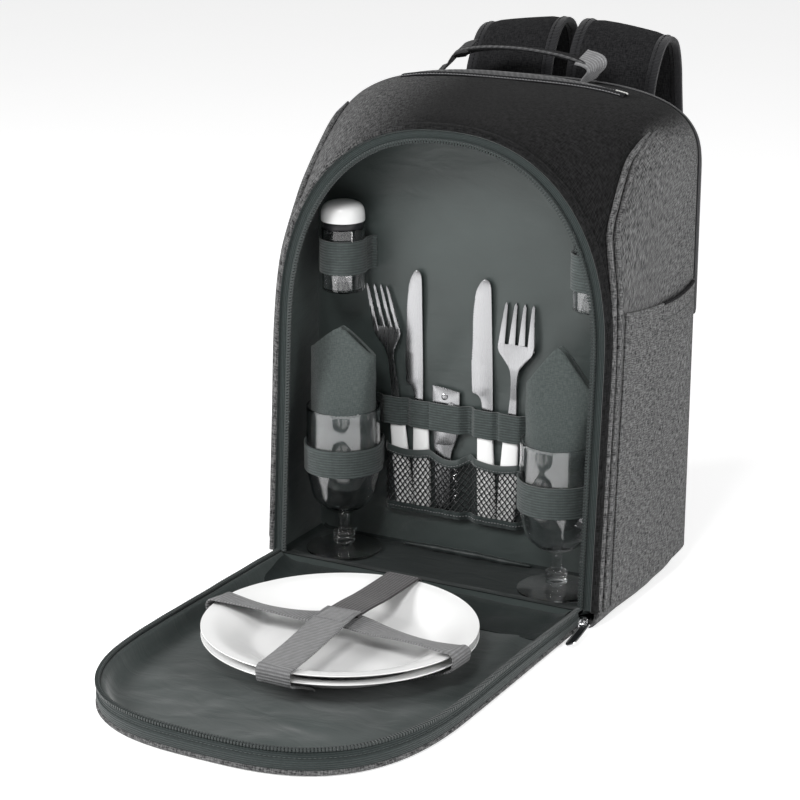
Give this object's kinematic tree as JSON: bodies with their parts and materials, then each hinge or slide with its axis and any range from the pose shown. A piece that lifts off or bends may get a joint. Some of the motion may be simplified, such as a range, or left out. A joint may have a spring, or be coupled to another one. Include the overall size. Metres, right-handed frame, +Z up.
{
  "type": "picnic cooler backpack",
  "caption": "Grey heather cooler backpack standing with its arched zip flap laid open in front, the fitted picnic ware strapped and looped inside.",
  "frame": {"origin": "middle of the base of the bag, on the underside of the shell", "axes": "+Z up, -Y out of the open front and along the flap, +X to the right seen from the front"},
  "size_m": [0.3037, 0.5899, 0.4252],
  "materials": {
    "heather_cloth": "matt twill, light and dark threads mixed",
    "dark_cloth": "matt dark twill",
    "back_cloth": "matt black cloth",
    "satin_lining": "soft satin sheen",
    "zip_tape": "matt woven tape",
    "elastic": "ribbed, matt",
    "webbing": "ribbed, matt",
    "hook_tape": "matt loop pile",
    "net": "open diamond net",
    "napkin_cloth": "matt plain weave",
    "black_plastic": "satin",
    "white_plastic": "gloss",
    "clear_plastic": "clear, polished",
    "steel": "polished",
    "zinc": "bright plated"
  },
  "bodies": {
    "root": {"body_shell": "heather_cloth", "side_pocket_left": "heather_cloth", "side_pocket_right": "heather_cloth", "flap_outer": "heather_cloth", "corner_fold_left": "dark_cloth", "corner_fold_right": "dark_cloth", "top_seam": "dark_cloth", "carry_handle": "dark_cloth", "shoulder_strap_left": "dark_cloth", "shoulder_strap_right": "dark_cloth", "back_panel": "back_cloth", "rear_zip_band": "back_cloth", "lower_webbing_left": "back_cloth", "lower_webbing_right": "back_cloth", "strap_buckle_left": "black_plastic", "strap_buckle_right": "black_plastic", "compartment_liner": "satin_lining", "floor_seam": "satin_lining", "flap_lining": "satin_lining", "flap_hinge": "satin_lining", "zip_tape_body": "zip_tape", "zip_coil_body": "zip_tape", "flap_band": "zip_tape", "zip_coil_flap": "zip_tape", "top_twill": "webbing", "handle_tab_left": "webbing", "handle_tab_right": "webbing", "plate_strap_cross": "webbing", "plate_strap_front": "webbing", "plate_strap_back": "hook_tape", "zip_slider_left": "zinc", "zip_slider_right": "zinc", "plate_lower": "white_plastic", "plate_upper": "white_plastic", "goblet_left": "clear_plastic", "shaker_body_left": "clear_plastic", "napkin_left": "napkin_cloth", "goblet_loop_left": "elastic", "shaker_loop_left": "elastic", "shaker_cap_left": "white_plastic", "fork_handle_left": "white_plastic", "knife_handle_left": "white_plastic", "fork_head_left": "steel", "knife_blade_left": "steel", "goblet_right": "clear_plastic", "shaker_body_right": "clear_plastic", "napkin_right": "napkin_cloth", "goblet_loop_right": "elastic", "shaker_loop_right": "elastic", "shaker_cap_right": "white_plastic", "fork_handle_right": "white_plastic", "knife_handle_right": "white_plastic", "fork_head_right": "steel", "knife_blade_right": "steel", "opener_body": "steel", "opener_worm": "steel", "cutlery_band": "elastic", "net_top_binding": "elastic", "net_foot_binding": "elastic", "net_pocket": "net"}
  },
  "joints": []
}
